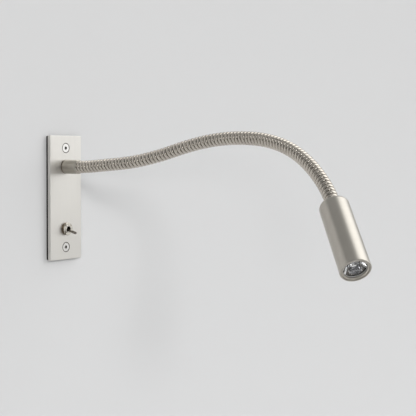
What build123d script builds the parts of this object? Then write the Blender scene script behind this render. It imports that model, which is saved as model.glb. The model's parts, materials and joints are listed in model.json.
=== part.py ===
from build123d import *
import math
import os

# Bedside wall reading lamp: a narrow wall plate with a toggle switch, a ribbed bending neck
# and a small spotlight head. Millimetres. The origin is the middle of the face that lies on
# the wall. X runs right along the wall, Y goes into the wall and Z is up.

os.makedirs("parts", exist_ok=True)

# ---- driving dimensions ------------------------------------------------------------------

plate_height = 100.0
plate_width = 35.0
plate_thickness = 2.6
plate_corner = 0.8
plate_edge = 0.4

backing_thickness = 2.2
backing_inset = 0.5
backing_window_width = 26.0
backing_window_height = 68.0

screw_spacing = 80.0
screw_hole_radius = 2.25
screw_shank_radius = 1.75
screw_thread_radius = 2.0
screw_head_radius = 3.8
screw_key = 2.5
screw_reach = 17.3

neck_height = 25.0
ferrule_radius = 5.65
ferrule_length = 15.2
stud_radius = 4.0
stud_bore_radius = 2.9
stud_reach = 6.0

toggle_height = -25.2
bush_radius = 3.1
bush_mouth_radius = 2.65
bush_bore_radius = 2.05
dress_nut_radius = 5.1
dress_nut_thickness = 2.7
lever_length = 14.2
lever_swing = 12.5

rib_pitch = 3.12
rib_radius = 5.0
groove_radius = 4.35
neck_bore_radius = 2.7
ball_radius = 4.75
socket_radius = 4.9
spigot_radius = 4.6
spigot_bore_radius = 4.65
ribs_before_first_joint = 4
ribs_per_section = 8
joint_count = 10
rib_count = 85

# Direction of the neck at its start, at each joint and at its end, in degrees:
# swing to the right of straight out from the wall, and climb above level.
neck_swings = [0, 4.5, 8.5, 11.5, 9.5, 5, 0, -6, -13, -20.5, -26.5, -40.5]
neck_climbs = [0, 5, 5, 12, 17.5, 11.5, 3, -4.5, -15.5, -27.5, -36.5, -41.5]

cable_radius = 1.8

head_length = 57.5
head_rear_radius = 10.0
head_front_radius = 10.1
head_shoulder = 3.0
head_cavity_radius = 8.3
head_thread_radius = 8.9

# ---- worked out from them ----------------------------------------------------------------

face_out = backing_thickness + plate_thickness
plate_back = backing_thickness
ferrule_front = face_out + ferrule_length
joint_stations = [
    (ribs_before_first_joint + 0.5 + ribs_per_section * k) * rib_pitch for k in range(joint_count)
]
neck_length = rib_count * rib_pitch


def facing_out(out, x=0.0, z=0.0):
    """A plane parallel to the wall, `out` in front of it, whose normal points into the room."""
    return Plane(origin=(x, -out, z), x_dir=(1, 0, 0), z_dir=(0, -1, 0))


def wall_axis(z, x=0.0):
    """The line square to the wall at that height."""
    return Axis((x, 0, z), (0, 1, 0))


def keep(piece, name):
    """Labels a finished piece and writes its STEP file."""
    piece.part.label = name
    export_step(piece.part, f"parts/{name}.step")


# ---- the neck's line: one circular arc from each joint to the next, each tangent to the last


def heading(swing, climb):
    swing, climb = math.radians(swing), math.radians(climb)
    return Vector(
        math.sin(swing) * math.cos(climb),
        -math.cos(swing) * math.cos(climb),
        math.sin(climb),
    )


class NeckArc:
    def __init__(self, start, first, last, begin, end):
        self.start, self.first, self.begin, self.end = start, first, begin, end
        self.turn = math.radians(first.get_angle(last))
        self.radius = (end - begin) / self.turn
        self.inward = (last - first * math.cos(self.turn)) * (1 / math.sin(self.turn))

    def point(self, station):
        angle = (station - self.begin) / self.radius
        across = self.inward * (1 - math.cos(angle))
        return self.start + (self.first * math.sin(angle) + across) * self.radius

    def direction(self, station):
        angle = (station - self.begin) / self.radius
        return self.first * math.cos(angle) + self.inward * math.sin(angle)


neck_headings = [heading(s, c) for s, c in zip(neck_swings, neck_climbs)]
neck_stations = [0.0] + joint_stations + [neck_length]
neck_arcs = []
arc_start = Vector(0, -ferrule_front, neck_height)
for k in range(joint_count + 1):
    begin, end = neck_stations[k], neck_stations[k + 1]
    arc = NeckArc(arc_start, neck_headings[k], neck_headings[k + 1], begin, end)
    neck_arcs.append(arc)
    arc_start = arc.point(end)


def neck_plane(arc, station):
    """The plane square to the neck there. Its X axis stays level all along the neck."""
    along = arc.direction(station)
    level = along.cross(Vector(0, 0, 1)).normalized()
    return Plane(origin=arc.point(station), x_dir=level, z_dir=along)


# ---- wall plate ----------------------------------------------------------------------------

with BuildPart() as front_plate:
    with BuildSketch(facing_out(plate_back)):
        RectangleRounded(plate_width, plate_height, plate_corner)
    extrude(amount=plate_thickness)
    fillet(front_plate.faces().sort_by(Axis.Y)[0].outer_wire().edges(), plate_edge)
    with Locations(facing_out(face_out)):
        with Locations((0, screw_spacing / 2), (0, -screw_spacing / 2)):
            CounterSinkHole(screw_hole_radius, screw_head_radius + 0.25, counter_sink_angle=90)
        with Locations((0, neck_height)):
            Hole(stud_radius + 0.1)
        with Locations((0, toggle_height)):
            Hole(bush_radius + 0.1)
keep(front_plate, "front_plate")

with BuildPart() as wall_gasket:
    with BuildSketch(facing_out(0)):
        RectangleRounded(
            plate_width - 2 * backing_inset, plate_height - 2 * backing_inset, plate_corner
        )
        RectangleRounded(backing_window_width, backing_window_height, 2, mode=Mode.SUBTRACT)
        with Locations((0, screw_spacing / 2), (0, -screw_spacing / 2)):
            Circle(screw_hole_radius, mode=Mode.SUBTRACT)
    extrude(amount=backing_thickness)
keep(wall_gasket, "wall_gasket")

# Countersunk hex-socket screws, with the thread only where they stand out of the back.
screw_face = face_out - 0.1
screw_rim = 0.1
thread_start = 0.3
with BuildPart() as plate_screws:
    for z in (screw_spacing / 2, -screw_spacing / 2):
        with BuildSketch(Plane.XY.offset(z)):
            with BuildLine():
                Polyline(
                    (0, -screw_face),
                    (screw_head_radius - screw_rim, -screw_face),
                    (screw_head_radius, -screw_face + screw_rim),
                    (screw_shank_radius, -screw_face + screw_rim + screw_head_radius - screw_shank_radius),
                    (screw_shank_radius, thread_start),
                    (screw_thread_radius, thread_start),
                    (screw_thread_radius, screw_reach),
                    (screw_thread_radius - 0.6, screw_reach + 0.6),
                    (0, screw_reach + 0.6),
                    close=True,
                )
            make_face()
        revolve(axis=wall_axis(z))
        with BuildSketch(facing_out(screw_face, z=z)):
            RegularPolygon(screw_key / 2, 6, major_radius=False)
        extrude(amount=-1.5, mode=Mode.SUBTRACT)
keep(plate_screws, "plate_screws")

# ---- neck fixing ---------------------------------------------------------------------------

ferrule_chamfer = 0.6
spigot_depth = 6.0
with BuildPart() as neck_ferrule:
    with BuildSketch(Plane.XY.offset(neck_height)):
        with BuildLine():
            Polyline(
                (stud_bore_radius, stud_reach),
                (stud_radius - 0.4, stud_reach),
                (stud_radius, stud_reach - 0.4),
                (stud_radius, -face_out),
                (ferrule_radius, -face_out),
                (ferrule_radius, -ferrule_front + ferrule_chamfer),
                (ferrule_radius - ferrule_chamfer, -ferrule_front),
                (spigot_bore_radius, -ferrule_front),
                (spigot_bore_radius, -ferrule_front + spigot_depth),
                (stud_bore_radius, -ferrule_front + spigot_depth),
                close=True,
            )
        make_face()
    revolve(axis=wall_axis(neck_height))
keep(neck_ferrule, "neck_ferrule")

washer_thickness = 0.8
with BuildPart() as neck_lock_washer:
    with BuildSketch(facing_out(plate_back - washer_thickness, z=neck_height)):
        Circle(7.2)
        Circle(stud_radius + 0.1, mode=Mode.SUBTRACT)
        with PolarLocations(7.4, 14):
            Circle(0.7, mode=Mode.SUBTRACT)
    extrude(amount=washer_thickness)
keep(neck_lock_washer, "neck_lock_washer")

tag_thickness = 0.6
tag_back = plate_back - washer_thickness - tag_thickness
with BuildPart() as earth_tag:
    with BuildSketch(facing_out(tag_back, z=neck_height)):
        Circle(6.2)
        with Locations((8.0, 0)):
            Rectangle(6.0, 3.2)
        Circle(stud_radius + 0.1, mode=Mode.SUBTRACT)
        with Locations((9.6, 0)):
            Circle(0.7, mode=Mode.SUBTRACT)
    extrude(amount=tag_thickness)
keep(earth_tag, "earth_tag")

neck_nut_flats = 13.0
neck_nut_thickness = 3.5
with BuildPart() as neck_lock_nut:
    with BuildSketch(facing_out(tag_back, z=neck_height)):
        RegularPolygon(neck_nut_flats / 2, 6, major_radius=False)
        Circle(stud_radius + 0.05, mode=Mode.SUBTRACT)
    extrude(amount=-neck_nut_thickness)
    chamfer(neck_lock_nut.faces().sort_by(Axis.Y)[-1].outer_wire().edges(), 0.4)
keep(neck_lock_nut, "neck_lock_nut")

# ---- toggle switch -------------------------------------------------------------------------

bush_front = face_out + dress_nut_thickness + 0.35
bracket_front = -1.4
bracket_thickness = 0.4
case_front = bracket_front - bracket_thickness
pivot_out = 2.6
with BuildPart() as toggle_bush:
    with BuildSketch(Plane.XY.offset(toggle_height)):
        with BuildLine():
            Polyline(
                (bush_bore_radius, -case_front),
                (bush_radius, -case_front),
                (bush_radius, -bush_front + 0.3),
                (bush_radius - 0.3, -bush_front),
                (bush_mouth_radius, -bush_front),
                (bush_bore_radius, -pivot_out - 1.2),
                close=True,
            )
        make_face()
    revolve(axis=wall_axis(toggle_height))
    with BuildSketch(facing_out(case_front, z=toggle_height + bush_radius)):
        Rectangle(0.9, 0.7)
    extrude(amount=bush_front - case_front, mode=Mode.SUBTRACT)
keep(toggle_bush, "toggle_bush")

with BuildPart() as toggle_dress_nut:
    with BuildSketch(facing_out(face_out, z=toggle_height)):
        Circle(dress_nut_radius)
        Circle(bush_radius + 0.05, mode=Mode.SUBTRACT)
    extrude(amount=dress_nut_thickness)
    chamfer(toggle_dress_nut.faces().sort_by(Axis.Y)[0].outer_wire().edges(), 0.4)
    nut_face = facing_out(face_out + dress_nut_thickness, z=toggle_height)
    with BuildSketch(nut_face):
        with PolarLocations(dress_nut_radius - 0.8, 4, start_angle=45):
            Rectangle(1.8, 1.1)
    extrude(amount=-0.9, mode=Mode.SUBTRACT)
keep(toggle_dress_nut, "toggle_dress_nut")

toggle_washer_thickness = 0.6
with BuildPart() as toggle_washer:
    with BuildSketch(facing_out(plate_back - toggle_washer_thickness, z=toggle_height)):
        Circle(4.9)
        Circle(bush_radius + 0.7, mode=Mode.SUBTRACT)
        with PolarLocations(bush_radius + 0.65, 10):
            Rectangle(1.0, 0.9)
        Circle(bush_radius + 0.1, mode=Mode.SUBTRACT)
    extrude(amount=toggle_washer_thickness)
keep(toggle_washer, "toggle_washer")

toggle_nut_thickness = 1.8
with BuildPart() as toggle_back_nut:
    nut_front = facing_out(plate_back - toggle_washer_thickness, z=toggle_height)
    with BuildSketch(nut_front):
        RegularPolygon(4.0, 6, major_radius=False)
        Circle(bush_radius + 0.05, mode=Mode.SUBTRACT)
    extrude(amount=-toggle_nut_thickness)
keep(toggle_back_nut, "toggle_back_nut")

case_width = 7.9
case_height = 13.2
case_depth = 7.8
case_wall = 0.9
with BuildPart() as switch_bracket:
    with BuildSketch(facing_out(bracket_front, z=toggle_height)):
        Rectangle(case_width, case_height + 2 * bracket_thickness)
        Circle(bush_radius + 0.05, mode=Mode.SUBTRACT)
    extrude(amount=-bracket_thickness)
    with BuildSketch(facing_out(case_front, z=toggle_height)):
        with Locations(
            (0, (case_height + bracket_thickness) / 2), (0, -(case_height + bracket_thickness) / 2)
        ):
            Rectangle(5.0, bracket_thickness)
    extrude(amount=-case_depth)
keep(switch_bracket, "switch_bracket")

with BuildPart() as switch_case:
    with BuildSketch(facing_out(case_front, z=toggle_height)):
        Rectangle(case_width, case_height)
    extrude(amount=-case_depth)
    with BuildSketch(facing_out(case_front - case_wall, z=toggle_height)):
        Rectangle(case_width - 2 * case_wall, case_height - 2.4)
    extrude(amount=case_wall - case_depth, mode=Mode.SUBTRACT)
    with Locations(facing_out(case_front, z=toggle_height)):
        Hole(2.3)
keep(switch_case, "switch_case")

base_front = case_front - case_depth
base_thickness = 1.8
terminal_pitch = 4.7
terminal_width = 2.0
terminal_thickness = 0.8
terminal_back = -15.4
with BuildPart() as switch_base:
    with BuildSketch(facing_out(base_front, z=toggle_height)):
        Rectangle(case_width, case_height)
        with GridLocations(0, terminal_pitch, 1, 3):
            Rectangle(terminal_width + 0.1, terminal_thickness + 0.1, mode=Mode.SUBTRACT)
    extrude(amount=-base_thickness)
keep(switch_base, "switch_base")

rocker_out = -5.1
rocker_thickness = 0.5
with BuildPart() as switch_terminals:
    for row, front in ((-1, -6.3), (0, rocker_out - 0.6), (1, -6.3)):
        blade_height = toggle_height + row * terminal_pitch
        with BuildSketch(facing_out(front, z=blade_height)):
            Rectangle(terminal_width, terminal_thickness)
        extrude(amount=terminal_back - front)
        with BuildSketch(Plane.XY.offset(blade_height - terminal_thickness / 2)):
            with Locations((0, -terminal_back - 1.3)):
                Circle(0.55)
        extrude(amount=terminal_thickness, mode=Mode.SUBTRACT)
keep(switch_terminals, "switch_terminals")

# The rocker stands tilted at rest, with its upper end pushed back by the lever's tail.
rocker_tilt = 8.0
rocker_pivot = Vector(0, -rocker_out, toggle_height)
rocker_lean = math.radians(rocker_tilt)
with BuildPart() as switch_rocker:
    rocker_plane = Plane(
        origin=rocker_pivot,
        x_dir=(1, 0, 0),
        z_dir=(0, -math.cos(rocker_lean), math.sin(rocker_lean)),
    )
    with BuildSketch(rocker_plane):
        Rectangle(2.6, 8.4)
    extrude(amount=rocker_thickness / 2, both=True)
    with BuildSketch(rocker_plane.offset(-rocker_thickness / 2)):
        Rectangle(2.0, 0.6)
    extrude(amount=-0.15)
keep(switch_rocker, "switch_rocker")

# The lever points a little down at rest. Its ball sits in the bush and its tail in the case.
lever_pivot = Vector(0, -pivot_out, toggle_height)
lever_dip = math.radians(lever_swing)
lever_direction = Vector(0, -math.cos(lever_dip), -math.sin(lever_dip))
lever_ball_radius = 1.9
tail_radius = 0.7
tail_length = 6.6
lever_neck_radius = 0.9
lever_tip_radius = 1.15
with BuildPart() as toggle_lever:
    lever_plane = Plane(
        origin=lever_pivot, x_dir=(1, 0, 0), z_dir=Vector(1, 0, 0).cross(lever_direction)
    )
    tail_meets_ball = -math.sqrt(lever_ball_radius**2 - tail_radius**2)
    neck_meets_ball = math.sqrt(lever_ball_radius**2 - lever_neck_radius**2)
    with BuildSketch(lever_plane):
        with BuildLine():
            Line((0, -tail_length - 0.6), (0, lever_length))
            ThreePointArc(
                (0, lever_length),
                (lever_tip_radius * 0.72, lever_length - lever_tip_radius * 0.3),
                (lever_tip_radius, lever_length - lever_tip_radius),
            )
            Line((lever_tip_radius, lever_length - lever_tip_radius), (lever_neck_radius, 6.0))
            Line((lever_neck_radius, 6.0), (lever_neck_radius, neck_meets_ball))
            ThreePointArc(
                (lever_neck_radius, neck_meets_ball),
                (lever_ball_radius, 0),
                (tail_radius, tail_meets_ball),
            )
            Line((tail_radius, tail_meets_ball), (tail_radius, -tail_length))
            Line((tail_radius, -tail_length), (0, -tail_length - 0.6))
        make_face()
    revolve(axis=Axis(lever_pivot, lever_direction))
keep(toggle_lever, "toggle_lever")

# ---- lamp driver behind the plate ----------------------------------------------------------

driver_width = 23.0
driver_height = 31.0
driver_depth = 18.4
driver_wall = 1.2
driver_z = -0.5
driver_front = plate_back - 0.8
driver_back = driver_front - driver_depth
cable_exit_out = -13.5
lead_out = -14.5

with BuildPart() as driver_pad:
    with BuildSketch(facing_out(driver_front, z=driver_z)):
        RectangleRounded(driver_width - 3, driver_height - 5, 1)
    extrude(amount=plate_back - driver_front)
keep(driver_pad, "driver_pad")

lead_hole_spots = (-5.0, 1.9)
with BuildPart() as driver_case:
    with BuildSketch(facing_out(driver_front, z=driver_z)):
        RectangleRounded(driver_width, driver_height, 1.5)
    extrude(amount=-driver_depth)
    with BuildSketch(facing_out(driver_front - driver_wall, z=driver_z)):
        RectangleRounded(driver_width - 2 * driver_wall, driver_height - 2 * driver_wall, 0.6)
    extrude(amount=driver_wall - driver_depth, mode=Mode.SUBTRACT)
    with BuildSketch(facing_out(driver_front - driver_wall, z=driver_z)):
        with GridLocations(driver_width - 6, driver_height - 6, 2, 2):
            Circle(1.2)
    extrude(amount=-1.0)
    with BuildSketch(Plane.XY.offset(driver_z + driver_height / 2 - driver_wall)):
        with Locations((0, -cable_exit_out)):
            Circle(cable_radius + 0.2)
    extrude(amount=driver_wall, mode=Mode.SUBTRACT)
    with BuildSketch(Plane.XY.offset(driver_z - driver_height / 2)):
        with Locations(*[(x, -lead_out) for x in lead_hole_spots]):
            Circle(1.0)
    extrude(amount=driver_wall, mode=Mode.SUBTRACT)
keep(driver_case, "driver_case")

lid_thickness = 1.4
lid_lead_height = -9.0
with BuildPart() as driver_lid:
    with BuildSketch(facing_out(driver_back, z=driver_z)):
        RectangleRounded(driver_width, driver_height, 1.5)
    extrude(amount=-lid_thickness)
    with BuildSketch(facing_out(driver_back, z=driver_z)):
        RectangleRounded(driver_width - 2.6, driver_height - 2.6, 0.5)
        RectangleRounded(driver_width - 4.6, driver_height - 4.6, 0.4, mode=Mode.SUBTRACT)
    extrude(amount=1.0)
    with BuildSketch(facing_out(driver_back - lid_thickness)):
        with Locations((-4.5, lid_lead_height), (0, lid_lead_height)):
            Circle(1.0)
    extrude(amount=lid_thickness, mode=Mode.SUBTRACT)
keep(driver_lid, "driver_lid")

board_front = driver_front - driver_wall - 1.0
board_thickness = 1.6
board_back = board_front - board_thickness
with BuildPart() as driver_board:
    with BuildSketch(facing_out(board_front, z=driver_z)):
        Rectangle(driver_width - 3, driver_height - 3)
    extrude(amount=-board_thickness)
keep(driver_board, "driver_board")

with BuildPart() as driver_transformer:
    with BuildSketch(facing_out(board_back, x=-3.5, z=4.0)):
        Rectangle(11, 3)
    extrude(amount=-9)
    with BuildSketch(facing_out(board_back - 1, x=-3.5, z=4.0)):
        RectangleRounded(8, 10.5, 2)
    extrude(amount=-7)
keep(driver_transformer, "driver_transformer")

with BuildPart() as driver_capacitor:
    with BuildSketch(facing_out(board_back, x=4.2, z=-9.2)):
        Circle(3.9)
    extrude(amount=-10.5)
    fillet(driver_capacitor.faces().sort_by(Axis.Y)[-1].edges(), 0.5)
keep(driver_capacitor, "driver_capacitor")

with BuildPart() as driver_inductor:
    with BuildSketch(facing_out(board_back, x=-4.5, z=-9.5)):
        Circle(2.9)
    extrude(amount=-6)
    with BuildSketch(facing_out(board_back - 1.2, x=-4.5, z=-9.5)):
        Circle(3.0)
        Circle(2.3, mode=Mode.SUBTRACT)
    extrude(amount=-3.6, mode=Mode.SUBTRACT)
keep(driver_inductor, "driver_inductor")

block_front = driver_back - lid_thickness
block_depth = 8.0
block_width = 15.0
block_height = 9.0
block_way = 4.5
with BuildPart() as terminal_block:
    with BuildSketch(facing_out(block_front)):
        Rectangle(block_width, block_height)
    extrude(amount=-block_depth)
    for side in (-0.5, 0.5):
        with BuildSketch(facing_out(block_front - block_depth)):
            with Locations((side * block_way, 0)):
                Rectangle(0.8, block_height)
        extrude(amount=2.5, mode=Mode.SUBTRACT)
    with BuildSketch(Plane.XY.offset(-block_height / 2)):
        with Locations(*[(way * block_way, 3.2 - block_front) for way in (-1, 0, 1)]):
            Circle(1.25)
    extrude(amount=block_height, mode=Mode.SUBTRACT)
    with BuildSketch(facing_out(block_front - block_depth)):
        with GridLocations(block_way, 0, 3, 1):
            Circle(1.3)
    extrude(amount=block_depth - 3.2, mode=Mode.SUBTRACT)
keep(terminal_block, "terminal_block")

with BuildPart() as terminal_screws:
    with BuildSketch(facing_out(block_front - block_depth + 0.6)):
        with GridLocations(block_way, 0, 3, 1):
            Circle(1.2)
    extrude(amount=2.6)
    with BuildSketch(facing_out(block_front - block_depth + 0.6)):
        with GridLocations(block_way, 0, 3, 1):
            Rectangle(2.6, 0.4)
    extrude(amount=0.7, mode=Mode.SUBTRACT)
keep(terminal_screws, "terminal_screws")

# ---- leads behind the plate ----------------------------------------------------------------

lead_radius = 0.8
lead_in = 3.0


def add_lead(points, radii, wire_radius):
    """A round lead along straight runs joined by tangent arcs, added to the part being built."""
    with BuildLine() as route:
        if radii:
            FilletPolyline(*points, radius=radii)
        else:
            Line(*points)
    with BuildSketch(Plane(origin=route.wire() @ 0, z_dir=route.wire() % 0)) as section:
        Circle(wire_radius)
    sweep(section.sketch, path=route.wire())


driver_floor = driver_z - driver_height / 2
blade_face = terminal_thickness / 2
upper_blade = toggle_height + terminal_pitch + blade_face
with BuildPart() as switch_leads:
    add_lead(
        [(1.9, -lead_out, driver_floor + lead_in), (1.9, -lead_out, upper_blade - 1.2)],
        None,
        lead_radius,
    )
    add_lead(
        [
            (-5.0, -lead_out, driver_floor + lead_in),
            (-5.0, -lead_out, toggle_height),
            (-terminal_width / 2 - 0.05, -lead_out, toggle_height),
        ],
        2.4,
        lead_radius,
    )
keep(switch_leads, "switch_leads")

earth_way = block_way
wire_out = block_front - 3.2
tag_wire_x = 9.6
with BuildPart() as earth_lead:
    add_lead(
        [
            (tag_wire_x, -tag_back, neck_height),
            (tag_wire_x, -wire_out, neck_height),
            (earth_way, -wire_out, neck_height - 9.0),
            (earth_way, -wire_out, block_height / 2 - 2.0),
        ],
        [5.0, 4.0],
        0.65,
    )
keep(earth_lead, "earth_lead")

with BuildPart() as supply_leads:
    for x in (-block_way, 0.0):
        add_lead(
            [
                (x, -wire_out, -block_height / 2 + 2.0),
                (x, -wire_out, lid_lead_height),
                (x, -driver_back - 1.1, lid_lead_height),
            ],
            1.9,
            0.7,
        )
keep(supply_leads, "supply_leads")

# ---- the bending neck ----------------------------------------------------------------------

# Four circles make a rib: share of the pitch from the groove before it, and radius.
flare_length = 5.0
rib_circles = [(0.10, groove_radius), (0.28, rib_radius), (0.82, rib_radius), (1.0, groove_radius)]


def ribbed_tube(arc, circles):
    """Lofts straight-sided bands through circles square to the neck."""
    sections = []
    for station, radius in circles:
        with BuildSketch(neck_plane(arc, station)) as section:
            Circle(radius)
        sections.append(section.sketch)
    loft(sections, ruled=True)


for k, arc in enumerate(neck_arcs):
    first_section, last_section = k == 0, k == joint_count
    first_rib = 0 if first_section else ribs_before_first_joint + ribs_per_section * (k - 1) + 1
    last_rib = rib_count if last_section else ribs_before_first_joint + ribs_per_section * k
    circles = [(arc.begin, groove_radius)]
    if not first_section:
        circles.append((first_rib * rib_pitch, groove_radius))
    for rib in range(first_rib, last_rib):
        circles += [((rib + share) * rib_pitch, radius) for share, radius in rib_circles]
    if not last_section:
        circles.pop()
    with BuildPart() as neck_section:
        ribbed_tube(arc, circles)
        start_plane, end_plane = neck_plane(arc, arc.begin), neck_plane(arc, arc.end)
        if first_section:
            with BuildSketch(start_plane):
                Circle(spigot_radius)
            extrude(amount=-5.5)
            with BuildSketch(start_plane):
                Circle(neck_bore_radius)
            extrude(amount=-5.5, mode=Mode.SUBTRACT)
        else:
            with Locations(start_plane):
                Sphere(ball_radius)
            # A wider, flared mouth through the ball, so that the cable isn't pinched.
            with Locations(start_plane.offset(-flare_length)):
                Cone(
                    neck_bore_radius + 1.2,
                    neck_bore_radius + 0.5,
                    flare_length + 0.3,
                    align=(Align.CENTER, Align.CENTER, Align.MIN),
                    mode=Mode.SUBTRACT,
                )
        if last_section:
            with BuildSketch(end_plane):
                Circle(spigot_radius)
            extrude(amount=5.5)
            with BuildSketch(end_plane):
                Circle(neck_bore_radius)
            extrude(amount=5.5, mode=Mode.SUBTRACT)
        else:
            with Locations(end_plane):
                Sphere(socket_radius, mode=Mode.SUBTRACT)
        middle = (arc.begin + arc.end) / 2
        with BuildLine() as bore_line:
            ThreePointArc(arc.point(arc.begin), arc.point(middle), arc.point(arc.end))
        with BuildSketch(start_plane):
            Circle(neck_bore_radius)
        sweep(path=bore_line.wire(), mode=Mode.SUBTRACT)
    keep(neck_section, f"neck_section_{k:02d}")

# ---- head ----------------------------------------------------------------------------------

head_plane = neck_plane(neck_arcs[-1], neck_length)
head_axis = Axis(head_plane.origin, head_plane.z_dir)
# Profiles of turned pieces: distance from the head's axis, then distance from its rear face.
head_profile = Plane(
    origin=head_plane.origin,
    x_dir=head_plane.x_dir,
    z_dir=head_plane.x_dir.cross(head_plane.z_dir),
)


def turned(points):
    """A ring or disc turned about the head's axis."""
    with BuildSketch(head_profile) as section:
        with BuildLine():
            Polyline(*points, close=True)
        make_face()
    revolve(section.sketch, axis=head_axis)


head_wall = 2.4
neck_hole_radius = rib_radius + 0.15
thread_depth = 6.0
with BuildPart() as head_shell:
    with BuildSketch(head_profile):
        with BuildLine():
            Line((neck_hole_radius, 0), (head_rear_radius - head_shoulder, 0))
            ThreePointArc(
                (head_rear_radius - head_shoulder, 0),
                (
                    head_rear_radius - head_shoulder * (1 - math.sqrt(0.5)),
                    head_shoulder * (1 - math.sqrt(0.5)),
                ),
                (head_rear_radius, head_shoulder),
            )
            Polyline(
                (head_rear_radius, head_shoulder),
                (head_front_radius, head_length - 0.5),
                (head_front_radius - 0.15, head_length - 0.15),
                (head_front_radius - 0.5, head_length),
                (head_thread_radius, head_length),
                (head_thread_radius, head_length - thread_depth),
                (head_cavity_radius, head_length - thread_depth),
                (head_cavity_radius, head_wall),
                (neck_hole_radius, head_wall),
                (neck_hole_radius, 0),
            )
        make_face()
    revolve(axis=head_axis)
keep(head_shell, "head_shell")

bush_end = 10.4
grub_place = 6.4
with BuildPart() as neck_end_bush:
    turned(
        [
            (spigot_bore_radius, head_wall),
            (head_cavity_radius - 0.05, head_wall),
            (head_cavity_radius - 0.05, bush_end),
            (spigot_bore_radius, bush_end),
        ]
    )
    with BuildSketch(Plane(origin=head_plane.offset(grub_place).origin, z_dir=head_plane.x_dir)):
        Circle(1.5)
    extrude(amount=head_cavity_radius, mode=Mode.SUBTRACT)
keep(neck_end_bush, "neck_end_bush")

grub_length = 3.2
with BuildPart() as neck_grub_screw:
    grub_origin = head_plane.offset(grub_place).origin + head_plane.x_dir * spigot_bore_radius
    grub_plane = Plane(origin=grub_origin, z_dir=head_plane.x_dir)
    with BuildSketch(grub_plane):
        Circle(1.45)
    extrude(amount=grub_length)
    with BuildSketch(grub_plane.offset(grub_length)):
        RegularPolygon(0.75, 6, major_radius=False)
    extrude(amount=-1.6, mode=Mode.SUBTRACT)
keep(neck_grub_screw, "neck_grub_screw")

sink_start = 14.0
sink_end = head_length - 15.5
sink_bore_radius = 3.9
sink_radius = head_cavity_radius - 0.1
board_screw_offset = 5.9
sink_groove_count = 6
with BuildPart() as heat_sink:
    turned(
        [
            (sink_bore_radius, sink_start),
            (sink_radius, sink_start),
            (sink_radius, sink_end),
            (sink_bore_radius, sink_end),
        ]
    )
    for groove in range(sink_groove_count):
        low = sink_start + 3.0 + groove * 4.2
        with BuildSketch(head_plane.offset(low)):
            Circle(sink_radius + 1)
            Circle(sink_radius - 1.4, mode=Mode.SUBTRACT)
        extrude(amount=2.0, mode=Mode.SUBTRACT)
    with BuildSketch(head_plane.offset(sink_end)):
        with Locations((board_screw_offset, 0), (-board_screw_offset, 0)):
            Circle(1.0)
    extrude(amount=-7.0, mode=Mode.SUBTRACT)
keep(heat_sink, "heat_sink")

pad_thickness = 0.5
lead_offset = 3.0
with BuildPart() as thermal_pad:
    with BuildSketch(head_plane.offset(sink_end)):
        Circle(7.8)
        with Locations((board_screw_offset, 0), (-board_screw_offset, 0)):
            Circle(1.1, mode=Mode.SUBTRACT)
        with Locations((0, lead_offset), (0, -lead_offset)):
            Circle(0.75, mode=Mode.SUBTRACT)
    extrude(amount=pad_thickness)
keep(thermal_pad, "thermal_pad")

led_board_start = sink_end + pad_thickness
led_board_end = led_board_start + 1.6
with BuildPart() as led_board:
    with BuildSketch(head_plane.offset(led_board_start)):
        Circle(8.0)
        with Locations((board_screw_offset, 0), (-board_screw_offset, 0)):
            Circle(1.1, mode=Mode.SUBTRACT)
        with Locations((0, lead_offset), (0, -lead_offset)):
            Circle(0.75, mode=Mode.SUBTRACT)
    extrude(amount=led_board_end - led_board_start)
keep(led_board, "led_board")

with BuildPart() as board_screws:
    with BuildSketch(head_plane.offset(led_board_end)):
        with Locations((board_screw_offset, 0), (-board_screw_offset, 0)):
            Circle(1.8)
    extrude(amount=1.1)
    with BuildSketch(head_plane.offset(led_board_end + 1.1)):
        with Locations((board_screw_offset, 0), (-board_screw_offset, 0)):
            Rectangle(2.2, 0.5)
            Rectangle(0.5, 2.2)
    extrude(amount=-0.7, mode=Mode.SUBTRACT)
    with BuildSketch(head_plane.offset(led_board_end)):
        with Locations((board_screw_offset, 0), (-board_screw_offset, 0)):
            Circle(0.95)
    extrude(amount=-7.5)
keep(board_screws, "board_screws")

with BuildPart() as led_emitter:
    with BuildSketch(head_plane.offset(led_board_end)):
        RectangleRounded(3.5, 3.5, 0.3)
    extrude(amount=0.7)
    with Locations(head_plane.offset(led_board_end + 0.7)):
        Sphere(1.4, arc_size1=0)
keep(led_emitter, "led_emitter")

holder_radius = 8.2
holder_floor = led_board_end + 1.4
holder_top = head_length - 3.5
lens_cone_low = 3.5
lens_cone_high = 7.8
with BuildPart() as lens_holder:
    turned(
        [
            (holder_radius, led_board_end),
            (holder_radius, holder_top),
            (lens_cone_high, holder_top),
            (lens_cone_low, holder_floor + 0.8),
            (lens_cone_low, holder_floor),
            (holder_radius - 0.4, holder_floor),
            (holder_radius - 0.4, led_board_end),
        ]
    )
keep(lens_holder, "lens_holder")

# A collimating lens: a cone with a pocket over the emitter and a domed front.
flange_top = holder_top + 1.0
dome_radius = 7.6
dome_top = head_length - 0.9
pocket_radius = 2.3
pocket_top = holder_floor + 4.0
with BuildPart() as lens:
    dome_rise = dome_top - flange_top
    dome_sphere = (dome_radius**2 + dome_rise**2) / (2 * dome_rise)
    half_angle = math.asin(dome_radius / dome_sphere) / 2
    with BuildSketch(head_profile):
        with BuildLine():
            Polyline(
                (0, dome_top),
                (0, pocket_top),
                (pocket_radius, pocket_top - 0.4),
                (pocket_radius, holder_floor + 0.6),
                (lens_cone_low - 0.15, holder_floor + 0.6),
                (lens_cone_low - 0.1, holder_floor + 0.9),
                (lens_cone_high - 0.15, holder_top),
                (holder_radius, holder_top),
                (holder_radius, flange_top),
                (dome_radius, flange_top),
            )
            ThreePointArc(
                (dome_radius, flange_top),
                (
                    dome_sphere * math.sin(half_angle),
                    dome_top - dome_sphere * (1 - math.cos(half_angle)),
                ),
                (0, dome_top),
            )
        make_face()
    revolve(axis=head_axis)
keep(lens, "lens")

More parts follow.
